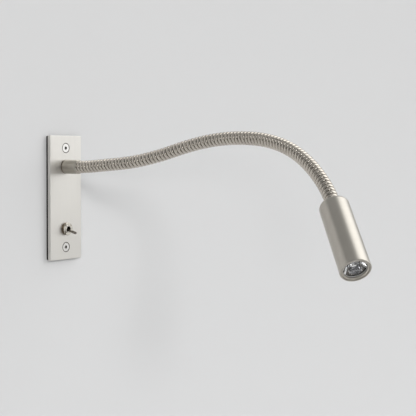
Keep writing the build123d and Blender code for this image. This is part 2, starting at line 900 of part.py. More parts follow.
seal_radius = 0.35
with BuildPart() as lens_seal:
    with Locations(head_plane.offset(flange_top + seal_radius)):
        Torus(holder_radius - seal_radius, seal_radius)
keep(lens_seal, "lens_seal")

bezel_opening = 7.7
bezel_bevel = 0.6
bezel_front = head_length - 0.3
bezel_step = flange_top + 2 * seal_radius + 0.05
with BuildPart() as bezel_ring:
    turned(
        [
            (holder_radius + 0.1, head_length - thread_depth + 1.0),
            (head_thread_radius - 0.05, head_length - thread_depth + 1.0),
            (head_thread_radius - 0.05, bezel_front - 0.2),
            (head_thread_radius - 0.25, bezel_front),
            (bezel_opening + bezel_bevel, bezel_front),
            (bezel_opening, bezel_front - bezel_bevel),
            (bezel_opening, bezel_step),
            (holder_radius + 0.1, bezel_step),
        ]
    )
keep(bezel_ring, "bezel_ring")

cable_end = 9.4
with BuildPart() as head_leads:
    for side in (-1, 1):
        near = head_profile.x_dir.cross(head_axis.direction) * side
        spots = [
            (0.8, cable_end),
            (0.8, cable_end + 2.5),
            (lead_offset, sink_start + 4.0),
            (lead_offset, led_board_end + 0.5),
        ]
        points = [head_plane.origin + near * off + head_axis.direction * along for off, along in spots]
        add_lead(points, [3.0, 4.0], 0.55)
keep(head_leads, "head_leads")

# ---- cable through the neck ----------------------------------------------------------------

cable_bend = 6.0
cable_depth = -cable_exit_out
with BuildPart() as neck_cable:
    with BuildLine() as cable_line:
        Line((0, cable_depth, 11.0), (0, cable_depth, neck_height - cable_bend))
        ThreePointArc(
            (0, cable_depth, neck_height - cable_bend),
            (
                0,
                cable_depth - cable_bend * (1 - math.sqrt(0.5)),
                neck_height - cable_bend * (1 - math.sqrt(0.5)),
            ),
            (0, cable_depth - cable_bend, neck_height),
        )
        Line((0, cable_depth - cable_bend, neck_height), (0, -ferrule_front, neck_height))
        for arc in neck_arcs:
            middle = (arc.begin + arc.end) / 2
            ThreePointArc(arc.point(arc.begin), arc.point(middle), arc.point(arc.end))
        Line(head_plane.origin, head_plane.offset(cable_end).origin)
    with BuildSketch(Plane.XY.offset(11.0)):
        with Locations((0, cable_depth)):
            Circle(cable_radius)
    sweep(path=cable_line.wire())
keep(neck_cable, "neck_cable")

cable_length = cable_line.wire().length
cable_error = neck_cable.part.volume / (math.pi * cable_radius**2 * cable_length) - 1
print(f"neck cable: length {cable_length:.1f}, bend at the plate {cable_bend:.1f}")
print("neck cable: radii in the neck", [round(arc.radius) for arc in neck_arcs])
print(f"neck cable: volume is off its section times its length by {cable_error:.4%}")
print("neck joints at", [tuple(round(v, 2) for v in arc.start) for arc in neck_arcs[1:]])
print("head starts at", tuple(round(v, 2) for v in head_plane.origin))
print("head points along", tuple(round(v, 4) for v in head_plane.z_dir))
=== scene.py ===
import json
import math

import bpy
from mathutils import Matrix, Vector


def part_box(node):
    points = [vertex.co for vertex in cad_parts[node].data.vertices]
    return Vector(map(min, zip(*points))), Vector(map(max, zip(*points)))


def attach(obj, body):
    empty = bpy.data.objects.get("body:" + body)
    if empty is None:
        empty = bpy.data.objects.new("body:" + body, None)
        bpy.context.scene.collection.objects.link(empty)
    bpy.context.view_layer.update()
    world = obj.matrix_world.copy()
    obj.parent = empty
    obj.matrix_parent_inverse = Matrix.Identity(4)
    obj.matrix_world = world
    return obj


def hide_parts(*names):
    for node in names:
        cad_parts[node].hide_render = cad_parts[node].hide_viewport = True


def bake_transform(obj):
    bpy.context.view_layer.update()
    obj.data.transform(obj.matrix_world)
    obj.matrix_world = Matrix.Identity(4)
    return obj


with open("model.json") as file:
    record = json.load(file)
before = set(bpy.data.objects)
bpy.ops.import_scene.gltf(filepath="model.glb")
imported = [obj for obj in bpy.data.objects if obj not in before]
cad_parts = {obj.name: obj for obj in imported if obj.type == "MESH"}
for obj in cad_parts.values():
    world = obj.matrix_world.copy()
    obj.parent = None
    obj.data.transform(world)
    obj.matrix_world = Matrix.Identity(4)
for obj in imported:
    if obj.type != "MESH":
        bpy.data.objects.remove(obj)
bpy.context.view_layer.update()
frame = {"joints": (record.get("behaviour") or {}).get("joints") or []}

# Bedside wall reading lamp, in metres. The wall is the plane Y = 0, the plate stands on it and the
# neck reaches out towards -Y.

MM = 0.001


def corners(node):
    """Lowest and highest corner of a node at rest."""
    low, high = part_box(node)
    return Vector(low), Vector(high)


# ---- sizes ---------------------------------------------------------------------------------------
# Places come from the frame. Spacings are those of the solids.

ferrule_low, ferrule_high = corners("neck_ferrule")
neck_height = (ferrule_low.z + ferrule_high.z) / 2
plate_face = -corners("front_plate")[0].y
wall_axis = (0, 1, 0)
ferrule_front = -ferrule_low.y

screw_height = 40.0 * MM
toggle_height = -25.2 * MM
rib_pitch = 3.12 * MM
rib_count = 85
ribs_before_first_joint = 4
ribs_per_section = 8
half_rib = 0.5
neck_radius = 5.0 * MM
neck_length = rib_count * rib_pitch
joint_spots = [Vector(j["pos_m"]) for j in frame["joints"] if j["name"].startswith("neck_")]
joint_count = len(joint_spots)
# How far along the neck each joint is. A joint is in the middle of a rib.
joint_stations = [
    (ribs_before_first_joint + half_rib + ribs_per_section * k) * rib_pitch for k in range(joint_count)
]

# Direction of the neck at its start, at each joint and at its end, in degrees:
# swing to the right of straight out from the wall, and climb above level.
neck_swings = [0, 4.5, 8.5, 11.5, 9.5, 5, 0, -6, -13, -20.5, -26.5, -40.5]
neck_climbs = [0, 5, 5, 12, 17.5, 11.5, 3, -4.5, -15.5, -27.5, -36.5, -41.5]


def heading(swing, climb):
    """Direction with that swing and climb."""
    swing, climb = math.radians(swing), math.radians(climb)
    return Vector((
        math.sin(swing) * math.cos(climb),
        -math.cos(swing) * math.cos(climb),
        math.sin(climb),
    ))


neck_headings = [heading(s, c) for s, c in zip(neck_swings, neck_climbs)]
neck_start = Vector((0, -ferrule_front, neck_height))
neck_stations = [0.0] + joint_stations + [neck_length]


def arc_end(start, first, last, length):
    """End of an arc of that length, which leaves start along first and arrives along last."""
    turn = first.angle(last)
    inward = (last - first * math.cos(turn)) / math.sin(turn)
    radius = length / turn
    return start + (first * math.sin(turn) + inward * (1 - math.cos(turn))) * radius


head_start = arc_end(
    joint_spots[-1], neck_headings[-2], neck_headings[-1], neck_length - joint_stations[-1]
)
head_direction = neck_headings[-1]


# ---- the neck's line, drawn as a curve -----------------------------------------------------------

# The cable climbs from its foot in the driver, bends into the collar's stud and follows the neck.
cable_bend = 6.0 * MM
cable_back = 13.5 * MM
cable_foot = 11.0 * MM
cable_in_head = 9.4 * MM
foot_run = neck_height - cable_bend - cable_foot
stud_run = cable_back - cable_bend + ferrule_front
bend_run = cable_bend * math.pi / 2
station_zero = foot_run + bend_run + stud_run  # the neck's start, along the cable
line_steps = 40
smallest_turn = 1e-6


def handle_length(turn, length):
    """How far the handles of an arc's two ends stand out, for an arc of that turn and length."""
    if turn < smallest_turn:
        return length / 3
    return length * 4 / 3 * math.tan(turn / 4) / turn


def draw_neck_line():
    """One Bezier curve from inside the driver, through the stud and the neck, into the head."""
    up, out = Vector((0, 0, 1)), Vector((0, -1, 0))
    stops = [
        (Vector((0, cable_back, cable_foot)), up),
        (Vector((0, cable_back, neck_height - cable_bend)), up),
        (Vector((0, cable_back - cable_bend, neck_height)), out),
        (neck_start, out),
    ]
    stops += list(zip(joint_spots, neck_headings[1:-1]))
    stops.append((head_start, head_direction))
    stops.append((head_start + head_direction * cable_in_head, head_direction))
    runs = [foot_run, bend_run, stud_run]
    runs += [b - a for a, b in zip(neck_stations, neck_stations[1:])]
    runs.append(cable_in_head)

    data = bpy.data.curves.new("neck_line", "CURVE")
    data.dimensions = "3D"
    data.twist_mode = "Z_UP"
    spline = data.splines.new("BEZIER")
    spline.bezier_points.add(len(stops) - 1)
    spline.resolution_u = line_steps
    for point, (place, _) in zip(spline.bezier_points, stops):
        point.co = place
        point.handle_left_type = point.handle_right_type = "FREE"
        point.handle_left = point.handle_right = place
    for k, length in enumerate(runs):
        (a, from_direction), (b, to_direction) = stops[k], stops[k + 1]
        reach = handle_length(from_direction.angle(to_direction), length)
        spline.bezier_points[k].handle_right = a + from_direction * reach
        spline.bezier_points[k + 1].handle_left = b - to_direction * reach
    line = bpy.data.objects.new("neck_line", data)
    bpy.context.collection.objects.link(line)
    return line


neck_line = draw_neck_line()


# ---- finishes ------------------------------------------------------------------------------------

# A noise pattern mostly stays between these two values, and a finish runs from one to the other.
pattern_low, pattern_high = 0.3, 0.7

# Sockets of a Mix node that mixes colours: factor, first and second colour, and the result.
mix_inputs, mix_result = (0, 6, 7), 2


def link_math(nodes, links, operation, first, second=None):
    """A Math node. Each of its values is a number or another node's output."""
    node = nodes.new("ShaderNodeMath")
    node.operation = operation
    for socket, value in zip(node.inputs, (first, second)):
        if isinstance(value, (int, float)):
            socket.default_value = value
        elif value is not None:
            links.new(value, socket)
    return node.outputs["Value"]


def link_range(nodes, links, value, start, stop, low, high, interpolation="LINEAR"):
    """A Map Range node that takes start..stop to low..high."""
    node = nodes.new("ShaderNodeMapRange")
    node.interpolation_type = interpolation
    for key, number in (("From Min", start), ("From Max", stop), ("To Min", low), ("To Max", high)):
        node.inputs[key].default_value = number
    links.new(value, node.inputs["Value"])
    return node.outputs["Result"]


class Finish:
    """A node material: a Principled shader and a few helpers that add texture to it."""

    def __init__(self, name, colour, roughness, metallic=0.0):
        self.material = bpy.data.materials.new(name)
        self.material.use_nodes = True
        self.nodes = self.material.node_tree.nodes
        self.links = self.material.node_tree.links
        self.shader = self.nodes["Principled BSDF"]
        self.colour = colour
        self.shader.inputs["Base Color"].default_value = (*colour, 1)
        self.shader.inputs["Roughness"].default_value = roughness
        self.shader.inputs["Metallic"].default_value = metallic
        self.place = self.nodes.new("ShaderNodeTexCoord").outputs["Object"]

    def set(self, **values):
        """Sets inputs of the shader by their names, with _ for a space."""
        for name, value in values.items():
            self.shader.inputs[name.replace("_", " ")].default_value = value

    def along(self, turn=(0, 0, 0), stretch=(1, 1, 1)):
        """Coordinates turned and stretched for a grain."""
        mapping = self.nodes.new("ShaderNodeMapping")
        mapping.inputs["Rotation"].default_value = turn
        mapping.inputs["Scale"].default_value = stretch
        self.links.new(self.place, mapping.inputs["Vector"])
        return mapping.outputs["Vector"]

    def noise(self, scale, detail, source=None, roughness=0.5):
        """A noise pattern, on the piece's own coordinates or on those of a grain."""
        noise = self.nodes.new("ShaderNodeTexNoise")
        noise.inputs["Scale"].default_value = scale
        noise.inputs["Detail"].default_value = detail
        noise.inputs["Roughness"].default_value = roughness
        self.links.new(source or self.place, noise.inputs["Vector"])
        return noise.outputs["Fac"]

    def math(self, operation, first, second=None):
        """A Math node of this finish."""
        return link_math(self.nodes, self.links, operation, first, second)

    def spread(self, value, low, high, start=pattern_low, stop=pattern_high):
        """Maps a value from start..stop to low..high."""
        return link_range(self.nodes, self.links, value, start, stop, low, high)

    def ramp(self, value, stops):
        """Colours along a pattern's value."""
        ramp = self.nodes.new("ShaderNodeValToRGB")
        elements = ramp.color_ramp.elements
        for element, (spot, colour) in zip(elements, stops):
            element.position = spot
            element.color = (*colour, 1)
        self.links.new(value, ramp.inputs["Fac"])
        return ramp.outputs["Color"]

    def tint(self, value, dark, light):
        """Base colour that runs from a darker to a lighter shade of the finish's own colour."""
        shades = [
            (pattern_low, tuple(c * dark for c in self.colour)),
            (pattern_high, tuple(min(c * light, 1.0) for c in self.colour)),
        ]
        self.links.new(self.ramp(value, shades), self.shader.inputs["Base Color"])

    def roughen(self, value, low, high):
        """Roughness that runs from low to high with a pattern."""
        self.links.new(self.spread(value, low, high), self.shader.inputs["Roughness"])

    def bump(self, value, height, strength):
        """Relief of the given height in metres."""
        bump = self.nodes.new("ShaderNodeBump")
        bump.inputs["Strength"].default_value = strength
        bump.inputs["Distance"].default_value = height
        self.links.new(value, bump.inputs["Height"])
        self.links.new(bump.outputs["Normal"], self.shader.inputs["Normal"])

    def brush(self, direction, amount):
        """Spreads the gloss along a direction of the piece, as fine brushing across it does."""
        across = self.nodes.new("ShaderNodeCombineXYZ")
        for socket, value in zip(across.inputs, direction):
            socket.default_value = value
        turned = self.nodes.new("ShaderNodeVectorTransform")
        turned.vector_type = "VECTOR"
        turned.convert_from, turned.convert_to = "OBJECT", "WORLD"
        self.links.new(across.outputs["Vector"], turned.inputs["Vector"])
        self.links.new(turned.outputs["Vector"], self.shader.inputs["Tangent"])
        self.set(Anisotropic=amount)

    def split_place(self):
        """X, Y and Z of the piece's own coordinates."""
        split = self.nodes.new("ShaderNodeSeparateXYZ")
        self.links.new(self.place, split.inputs["Vector"])
        return split.outputs

    def from_axis(self, height, mirrored=False):
        """Distance from the line square to the wall at that height, or at plus and minus it."""
        parts = self.split_place()
        level = self.math("ABSOLUTE", parts["Z"]) if mirrored else parts["Z"]
        across = self.math("POWER", parts["X"], 2.0)
        upright = self.math("POWER", self.math("SUBTRACT", level, height), 2.0)
        return self.math("SQRT", self.math("ADD", across, upright))

    def darken(self, mask, shade):
        """Multiplies the tinted base colour by a shade where the mask is 1."""
        base = self.shader.inputs["Base Color"]
        mix = self.nodes.new("ShaderNodeMix")
        mix.data_type, mix.blend_type = "RGBA", "MULTIPLY"
        factor, first, second = (mix.inputs[k] for k in mix_inputs)
        self.links.new(base.links[0].from_socket, first)
        second.default_value = (*shade, 1)
        self.links.new(mask, factor)
        self.links.new(mix.outputs[mix_result], base)


def turn_to(direction):
    """The turn that brings a direction onto Z, for a grain that runs round it."""
    return tuple(Vector(direction).rotation_difference(Vector((0, 0, 1))).to_euler())


def speckled(name, colour, roughness, scale, detail, shades, gloss, metallic=1.0):
    """A finish whose shade and gloss both vary with one fine pattern."""
    finish = Finish(name, colour, roughness, metallic)
    speckle = finish.noise(scale, detail)
    finish.tint(speckle, *shades)
    finish.roughen(speckle, *gloss)
    return finish


nickel = (0.74, 0.72, 0.685)
warm_nickel = (0.52, 0.49, 0.44)

# Where each painted shade begins and ends. The first four are distances from an axis, and the last one
# is the distance from the plate's face.
countersink_shade_edge = (4.0 * MM, 4.2 * MM)
socket_shade_edge = (1.15 * MM, 1.35 * MM)
screw_rim_shade = (3.4 * MM, 3.6 * MM)
nut_side_shade = (4.95 * MM, 5.05 * MM)
collar_corner_shade = (1.3 * MM, 0.5 * MM)


def satin_nickel_plate():
    """Flat plate: nickel over fine vertical brushing, with a faint cloudy sheen and painted shade in
    the countersinks.
    """
    finish = Finish("satin_nickel_plate", nickel, roughness=0.3, metallic=1.0)
    grain = finish.noise(900, 2, finish.along(stretch=(1, 1, 0.03)))
    cloud = finish.noise(28, 3)
    finish.tint(cloud, 0.97, 1.02)
    finish.roughen(grain, 0.42, 0.50)
    finish.bump(grain, height=0.003 * MM, strength=0.5)
    finish.brush((1, 0, 0), 0.5)
    # Painted shade: a dark ring in the countersink round each screw.
    from_screw = finish.from_axis(screw_height, mirrored=True)
    finish.darken(finish.spread(from_screw, 1, 0, *countersink_shade_edge), (0.12, 0.10, 0.08))
    return finish.material


def countersunk_screw():
    """Bright screw, with painted shade in its socket and along its rim, where it sits in the
    countersink.
    """
    finish = speckled(
        "bright_screws", (0.70, 0.69, 0.67), 0.3,
        scale=600, detail=3, shades=(0.93, 1.05), gloss=(0.26, 0.38),
    )
    from_middle = finish.from_axis(screw_height, mirrored=True)
    # Painted shade: dark down in the hex socket and along the rim against the countersink.
    socket = finish.spread(from_middle, 1, 0, *socket_shade_edge)
    rim = finish.spread(from_middle, 0, 1, *screw_rim_shade)
    finish.darken(finish.math("MAXIMUM", socket, rim), (0.06, 0.05, 0.04))
    return finish.material


def satin_nickel_turned(name, direction, colour=warm_nickel, brushing=0.3):
    """Turned part: fine rings of tool grain round its axis, under nickel."""
    finish = Finish(name, colour, roughness=0.25, metallic=1.0)
    grain = finish.noise(1500, 2, finish.along(turn_to(direction), (0.04, 0.04, 1)))
    cloud = finish.noise(40, 3)
    finish.tint(cloud, 0.96, 1.03)
    finish.roughen(grain, 0.31, 0.37)
    finish.bump(grain, height=0.0008 * MM, strength=0.5)
    if brushing:
        finish.brush(direction, brushing)
    return finish


def satin_nickel_ferrule():
    """Neck collar: turned nickel, with painted shade in the corner where it meets the plate."""
    finish = satin_nickel_turned("satin_nickel_ferrule", wall_axis, (0.47, 0.44, 0.39))
    # Painted shade: darker in the corner against the plate.
    begin, end = (-plate_face - distance for distance in collar_corner_shade)
    corner = finish.spread(finish.split_place()["Y"], 0, 1, begin, end)
    finish.darken(corner, (0.35, 0.31, 0.26))
    return finish.material


def notched_nut():
    """Round nut of the switch: bright face, its side darkened with painted shade."""
    finish = speckled(
        "notched_nut", (0.60, 0.57, 0.51), 0.3,
        scale=600, detail=3, shades=(0.92, 1.06), gloss=(0.25, 0.36),
    )
    # Painted shade: the whole side of the nut darker than its face.
    side = finish.spread(finish.from_axis(toggle_height), 0, 1, *nut_side_shade)
    finish.darken(side, (0.30, 0.25, 0.20))
    return finish.material


def wound_nickel():
    """Round wire of the neck: drawn wire under nickel, with a slightly uneven sheen."""
    finish = Finish("wound_nickel", (0.58, 0.535, 0.475), roughness=0.24, metallic=1.0)
    mottle = finish.noise(260, 4)
    cloud = finish.noise(30, 2)
    finish.tint(cloud, 0.92, 1.05)
    finish.roughen(mottle, 0.18, 0.30)
    finish.bump(mottle, height=0.01 * MM, strength=0.35)
    return finish.material


def dull_filler():
    """Filler wire down in the grooves, dull, and near-black as painted shade for the grooves."""
    # Near-black base colour: painted shade down in the grooves between the round wires.
    finish = Finish("dull_filler", (0.07, 0.06, 0.05), roughness=0.45, metallic=1.0)
    grime = finish.noise(420, 4)
    finish.tint(grime, 0.65, 1.25)
    finish.roughen(grime, 0.35, 0.6)
    finish.bump(grime, height=0.02 * MM, strength=0.4)
    return finish.material


def bright_steel(name, colour):
    """Plated metal with a bright, slightly uneven sheen."""
    return speckled(
        name, colour, 0.22, scale=600, detail=3, shades=(0.9, 1.08), gloss=(0.16, 0.3)
    ).material


def moulded(name, colour, roughness, grain=900, height=0.012 * MM, sheen=0.4):
    """Moulded plastic with a fine spark-eroded grain."""
    gloss_range = 0.07
    finish = Finish(name, colour, roughness)
    speckle = finish.noise(grain, 3)
    cloud = finish.noise(60, 2)
    finish.tint(cloud, 0.93, 1.05)
    finish.roughen(speckle, roughness - gloss_range, roughness + gloss_range)
    finish.bump(speckle, height, strength=0.5)
    finish.set(Specular_IOR_Level=sheen)
    return finish.material


def black_backing():
    """Dense foam rubber with fine pores."""
    finish = Finish("black_backing", (0.013, 0.012, 0.011), roughness=0.82)
    pores = finish.noise(1400, 4, roughness=0.7)
    finish.tint(pores, 0.5, 1.7)
    finish.roughen(pores, 0.7, 0.92)
    finish.bump(pores, height=0.04 * MM, strength=0.6)
    finish.set(Specular_IOR_Level=0.25)
    return finish.material


def insulated(name, colour):
    """Extruded insulation of a lead or cable."""
    return speckled(
        name, colour, 0.42, scale=700, detail=2, shades=(0.9, 1.08), gloss=(0.35, 0.5), metallic=0.0
    ).material


def turned_metal(name, colour):
    """Bare turned part of the head, with rings of tool grain round its axis."""
    finish = Finish(name, colour, roughness=0.3, metallic=1.0)
    grain = finish.noise(1100, 2, finish.along(turn_to(head_direction), (0.05, 0.05, 1)))
    finish.tint(grain, 0.9, 1.06)
    finish.roughen(grain, 0.22, 0.36)
    finish.bump(grain, height=0.01 * MM, strength=0.4)
    return finish.material


def circuit_board(name, colour, copper):
    """Solder mask with faint tracks under it."""
    track_edge, mask_edge = 0.05, 0.12
    finish = Finish(name, colour, roughness=0.35)
    layout = finish.nodes.new("ShaderNodeTexVoronoi")
    layout.distance = "MANHATTAN"
    layout.feature = "DISTANCE_TO_EDGE"
    layout.inputs["Scale"].default_value = 420
    finish.links.new(finish.place, layout.inputs["Vector"])
    tracks = finish.ramp(layout.outputs["Distance"], [(track_edge, copper), (mask_edge, colour)])
    finish.links.new(tracks, finish.shader.inputs["Base Color"])
    return finish.material


def clear_lens():
    """Clear moulded acrylic."""
    finish = Finish("clear_lens", (1.0, 1.0, 1.0), roughness=0.03)
    finish.set(Transmission_Weight=1.0, IOR=1.49)
    finish.roughen(finish.noise(300, 2), 0.015, 0.05)
    return finish.material


def phosphor():
    """Grainy yellow phosphor of the LED."""
    finish = Finish("phosphor", (0.80, 0.62, 0.16), roughness=0.4)
    finish.tint(finish.noise(2500, 3), 0.85, 1.1)
    return finish.material


def copper_winding():
    """Enamelled wire, in turns along Y."""
    finish = Finish("copper_winding", (0.62, 0.30, 0.14), roughness=0.35, metallic=1.0)
    turns = finish.noise(2200, 1, finish.along(stretch=(0.03, 1, 0.03)))
    finish.tint(turns, 0.7, 1.2)
    finish.bump(turns, height=0.05 * MM, strength=0.7)
    return finish.material


plate_finish = satin_nickel_plate()
ferrule_finish = satin_nickel_ferrule()
head_finish = satin_nickel_turned("satin_nickel_head", head_direction).material
bezel_finish = satin_nickel_turned(
    "satin_nickel_bezel", head_direction, (0.62, 0.58, 0.52), brushing=0
).material
neck_finish = wound_nickel()
filler_finish = dull_filler()
reflector_finish = speckled(
    "polished_reflector", (0.40, 0.40, 0.41), 0.08,
    scale=160, detail=2, shades=(0.85, 1.1), gloss=(0.05, 0.12),
).material
seal_finish = moulded("clear_silicone", (0.42, 0.41, 0.39), 0.3)
zinc_finish = speckled(
    "zinc_steel", (0.56, 0.57, 0.58), 0.35,
    scale=420, detail=4, shades=(0.85, 1.1), gloss=(0.25, 0.48),
).material
screw_finish = countersunk_screw()
bush_finish = bright_steel("bright_bush", (0.62, 0.59, 0.54))
nut_finish = notched_nut()
lever_finish = speckled(
    "dark_nickel_lever", (0.24, 0.215, 0.19), 0.26,
    scale=500, detail=3, shades=(0.85, 1.15), gloss=(0.2, 0.36),
).material
silver_finish = bright_steel("silver_contacts", (0.70, 0.69, 0.65))
blackened_finish = bright_steel("blackened_steel", (0.05, 0.05, 0.05))
brass_finish = turned_metal("turned_brass", (0.62, 0.45, 0.20))
aluminium_finish = turned_metal("turned_aluminium", (0.66, 0.67, 0.68))
backing_finish = black_backing()
blue_case_finish = moulded("blue_switch_case", (0.012, 0.045, 0.20), 0.35)
white_case_finish = moulded("white_driver_case", (0.68, 0.68, 0.66), 0.5)
cream_block_finish = moulded("cream_block", (0.72, 0.70, 0.60), 0.38)
black_plastic_finish = moulded("black_plastic", (0.014, 0.014, 0.014), 0.42)
foam_finish = moulded("grey_foam", (0.03, 0.03, 0.032), 0.85, grain=500, height=0.08 * MM, sheen=0.2)
tape_finish = moulded("yellow_tape", (0.72, 0.48, 0.06), 0.3)
sleeve_finish = moulded("dark_sleeve", (0.02, 0.022, 0.05), 0.25)
pad_finish = moulded("grey_pad", (0.30, 0.32, 0.35), 0.6)
red_lead_finish = insulated("red_lead", (0.45, 0.02, 0.015))
green_lead_finish = insulated("green_lead", (0.12, 0.36, 0.05))
brown_lead_finish = insulated("brown_lead", (0.13, 0.05, 0.02))
jacket_finish = insulated("black_jacket", (0.02, 0.02, 0.02))
board_finish = circuit_board("green_board", (0.01, 0.12, 0.05), (0.03, 0.22, 0.09))
led_board_finish = circuit_board("white_board", (0.80, 0.80, 0.78), (0.66, 0.66, 0.62))
lens_finish = clear_lens()
phosphor_finish = phosphor()
coil_finish = copper_winding()

node_finishes = {
    "front_plate": plate_finish,
    "wall_gasket": backing_finish,
    "plate_screws": screw_finish,
    "neck_ferrule": ferrule_finish,
    "neck_lock_washer": zinc_finish,
    "earth_tag": silver_finish,
    "neck_lock_nut": zinc_finish,
    "toggle_bush": bush_finish,
    "toggle_dress_nut": nut_finish,
    "toggle_washer": zinc_finish,
    "toggle_back_nut": zinc_finish,
    "toggle_lever": lever_finish,
    "switch_bracket": zinc_finish,
    "switch_case": blue_case_finish,
    "switch_base": black_plastic_finish,
    "switch_terminals": silver_finish,
    "switch_rocker": silver_finish,
    "driver_pad": foam_finish,
    "driver_case": white_case_finish,
    "driver_lid": white_case_finish,
    "driver_board": board_finish,
    "driver_transformer": tape_finish,
    "driver_capacitor": sleeve_finish,
    "driver_inductor": coil_finish,
    "terminal_block": cream_block_finish,
    "terminal_screws": zinc_finish,
    "switch_leads": red_lead_finish,
    "earth_lead": green_lead_finish,
    "supply_leads": brown_lead_finish,
    "head_shell": head_finish,
    "neck_end_bush": brass_finish,
    "neck_grub_screw": blackened_finish,
    "heat_sink": aluminium_finish,
    "thermal_pad": pad_finish,
    "led_board": led_board_finish,
    "board_screws": zinc_finish,
    "led_emitter": phosphor_finish,
    "lens_holder": reflector_finish,
    "lens": lens_finish,
    "lens_seal": seal_finish,
    "bezel_ring": bezel_finish,
    "head_leads": red_lead_finish,
}


def dress(piece, finish):
    """Gives the piece one material all over."""
    piece.data.materials.clear()
    piece.data.materials.append(finish)


for node, finish in node_finishes.items():
    dress(bpy.data.objects[node], finish)


# ---- helpers for modelled pieces -----------------------------------------------------------------


merge_distance = 1e-7


def deselect_all():
    bpy.ops.object.select_all(action="DESELECT")


def select_only(piece):
    deselect_all()
    piece.select_set(True)
    bpy.context.view_layer.objects.active = piece


def start_piece(name):
    """Names the primitive that was just added."""
    piece = bpy.context.object
    piece.name = piece.data.name = name
    return piece


def settle(piece):
    """Puts the piece's place into its mesh."""
    select_only(piece)
    bpy.ops.object.transform_apply(location=True, rotation=True, scale=True)


def apply_all(piece):
    """Applies the piece's modifiers."""
    select_only(piece)
    for modifier in list(piece.modifiers):
        bpy.ops.object.modifier_apply(modifier=modifier.name)


def merge_and_select_open_edges():
    """In edit mode: merges doubled vertices and leaves only the open edges selected."""
    bpy.ops.mesh.select_all(action="SELECT")
    bpy.ops.mesh.remove_doubles(threshold=merge_distance)
    bpy.ops.mesh.select_all(action="DESELECT")
    bpy.ops.mesh.select_non_manifold(extend=False)


def close_ends(piece):
    """Fills the open ends of a swept tube and points its faces outwards."""
    bpy.context.view_layer.objects.active = piece
    bpy.ops.object.mode_set(mode="EDIT")
    merge_and_select_open_edges()
    bpy.ops.mesh.edge_face_add()
    bpy.ops.mesh.select_all(action="SELECT")
    bpy.ops.mesh.normals_make_consistent(inside=False)
    bpy.ops.object.mode_set(mode="OBJECT")


def smooth(piece, degrees=40):
    """Smooth shading, with a crease wherever faces meet at more than that angle."""
    select_only(piece)
    bpy.ops.object.shade_smooth_by_angle(angle=math.radians(degrees))


def bend_along_neck(piece):
    """Lays a piece that was made along X onto the neck's line."""
    curve = piece.modifiers.new("along_neck", "CURVE")
    curve.object = neck_line
    curve.deform_axis = "POS_X"
    apply_all(piece)


# ---- ring in the mouth of the switch's bush ------------------------------------------------------

bush_front = corners("toggle_bush")[0].y
ring_inner, ring_outer = 2.2 * MM, 2.62 * MM
ring_depth = 0.5 * MM
ring_bevel = 0.06 * MM
ring_sides = 48
ring_crease = 30
front_middle = (0, bush_front, toggle_height)
back_middle = (0, bush_front + ring_depth, toggle_height)
deselect_all()
bpy.ops.mesh.primitive_circle_add(
    vertices=ring_sides, radius=ring_outer, location=front_middle, rotation=(math.pi / 2, 0, 0)
)
mouth_ring = start_piece("toggle_mouth_ring")
settle(mouth_ring)
bpy.ops.object.mode_set(mode="EDIT")
bpy.ops.mesh.select_all(action="SELECT")
bpy.ops.mesh.extrude_edges_move()
bpy.ops.transform.resize(value=[ring_inner / ring_outer] * 3, center_override=front_middle)
bpy.ops.mesh.extrude_edges_move(TRANSFORM_OT_translate={"value": (0, ring_depth, 0)})
bpy.ops.mesh.extrude_edges_move()
bpy.ops.transform.resize(value=[ring_outer / ring_inner] * 3, center_override=back_middle)
merge_and_select_open_edges()
bpy.ops.mesh.bridge_edge_loops()
bpy.ops.mesh.select_all(action="SELECT")
bpy.ops.mesh.normals_make_consistent(inside=False)
bpy.ops.mesh.bevel(offset=ring_bevel, segments=2)
bpy.ops.object.mode_set(mode="OBJECT")
smooth(mouth_ring, ring_crease)
dress(mouth_ring, bush_finish)
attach(mouth_ring, "wall_plate")


# ---- the wound neck ------------------------------------------------------------------------------

wire_half_width = 1.40 * MM
wire_half_height = 0.95 * MM
filler_wire_radius = 0.70 * MM
filler_out = 3.62 * MM
rib_out = neck_radius - wire_half_height
wire_sides, filler_sides = 16, 6
steps_per_turn = 40
hidden_turns = 1  # inside the collar, and inside the head


def wind(name, half_width, half_height, out, sides, begin, turns):
    """A wire wound round X: a flattened circle screwed along the axis, closed at both ends."""
    deselect_all()
    bpy.ops.mesh.primitive_circle_add(
        vertices=sides,
        radius=half_width,
        location=(begin, 0, out),
        rotation=(math.pi / 2, 0, 0),
    )
    wire = start_piece(name)
    wire.scale.y = half_height / half_width
    settle(wire)
    screw = wire.modifiers.new("turns", "SCREW")
    screw.axis = "X"
    screw.angle = math.tau
    screw.screw_offset = rib_pitch
    screw.iterations = turns
    screw.steps = screw.render_steps = steps_per_turn
    screw.use_normal_calculate = True
    apply_all(wire)
    close_ends(wire)
    return wire


def turn_range(k):
    """First turn and number of turns of the winding over joint k, from mid-link to mid-link."""
    first = ribs_before_first_joint + ribs_per_section * k - ribs_per_section // 2
    last = first + ribs_per_section
    if k == 0:
        first = -hidden_turns
    if k == joint_count - 1:
        last = rib_count + hidden_turns
    return first, last - first


def join_pieces(pieces, name):
    """One piece of that name out of several."""
    deselect_all()
    for piece in pieces:
        piece.select_set(True)
    bpy.context.view_layer.objects.active = pieces[0]
    bpy.ops.object.join()
    pieces[0].name = pieces[0].data.name = name
    return pieces[0]


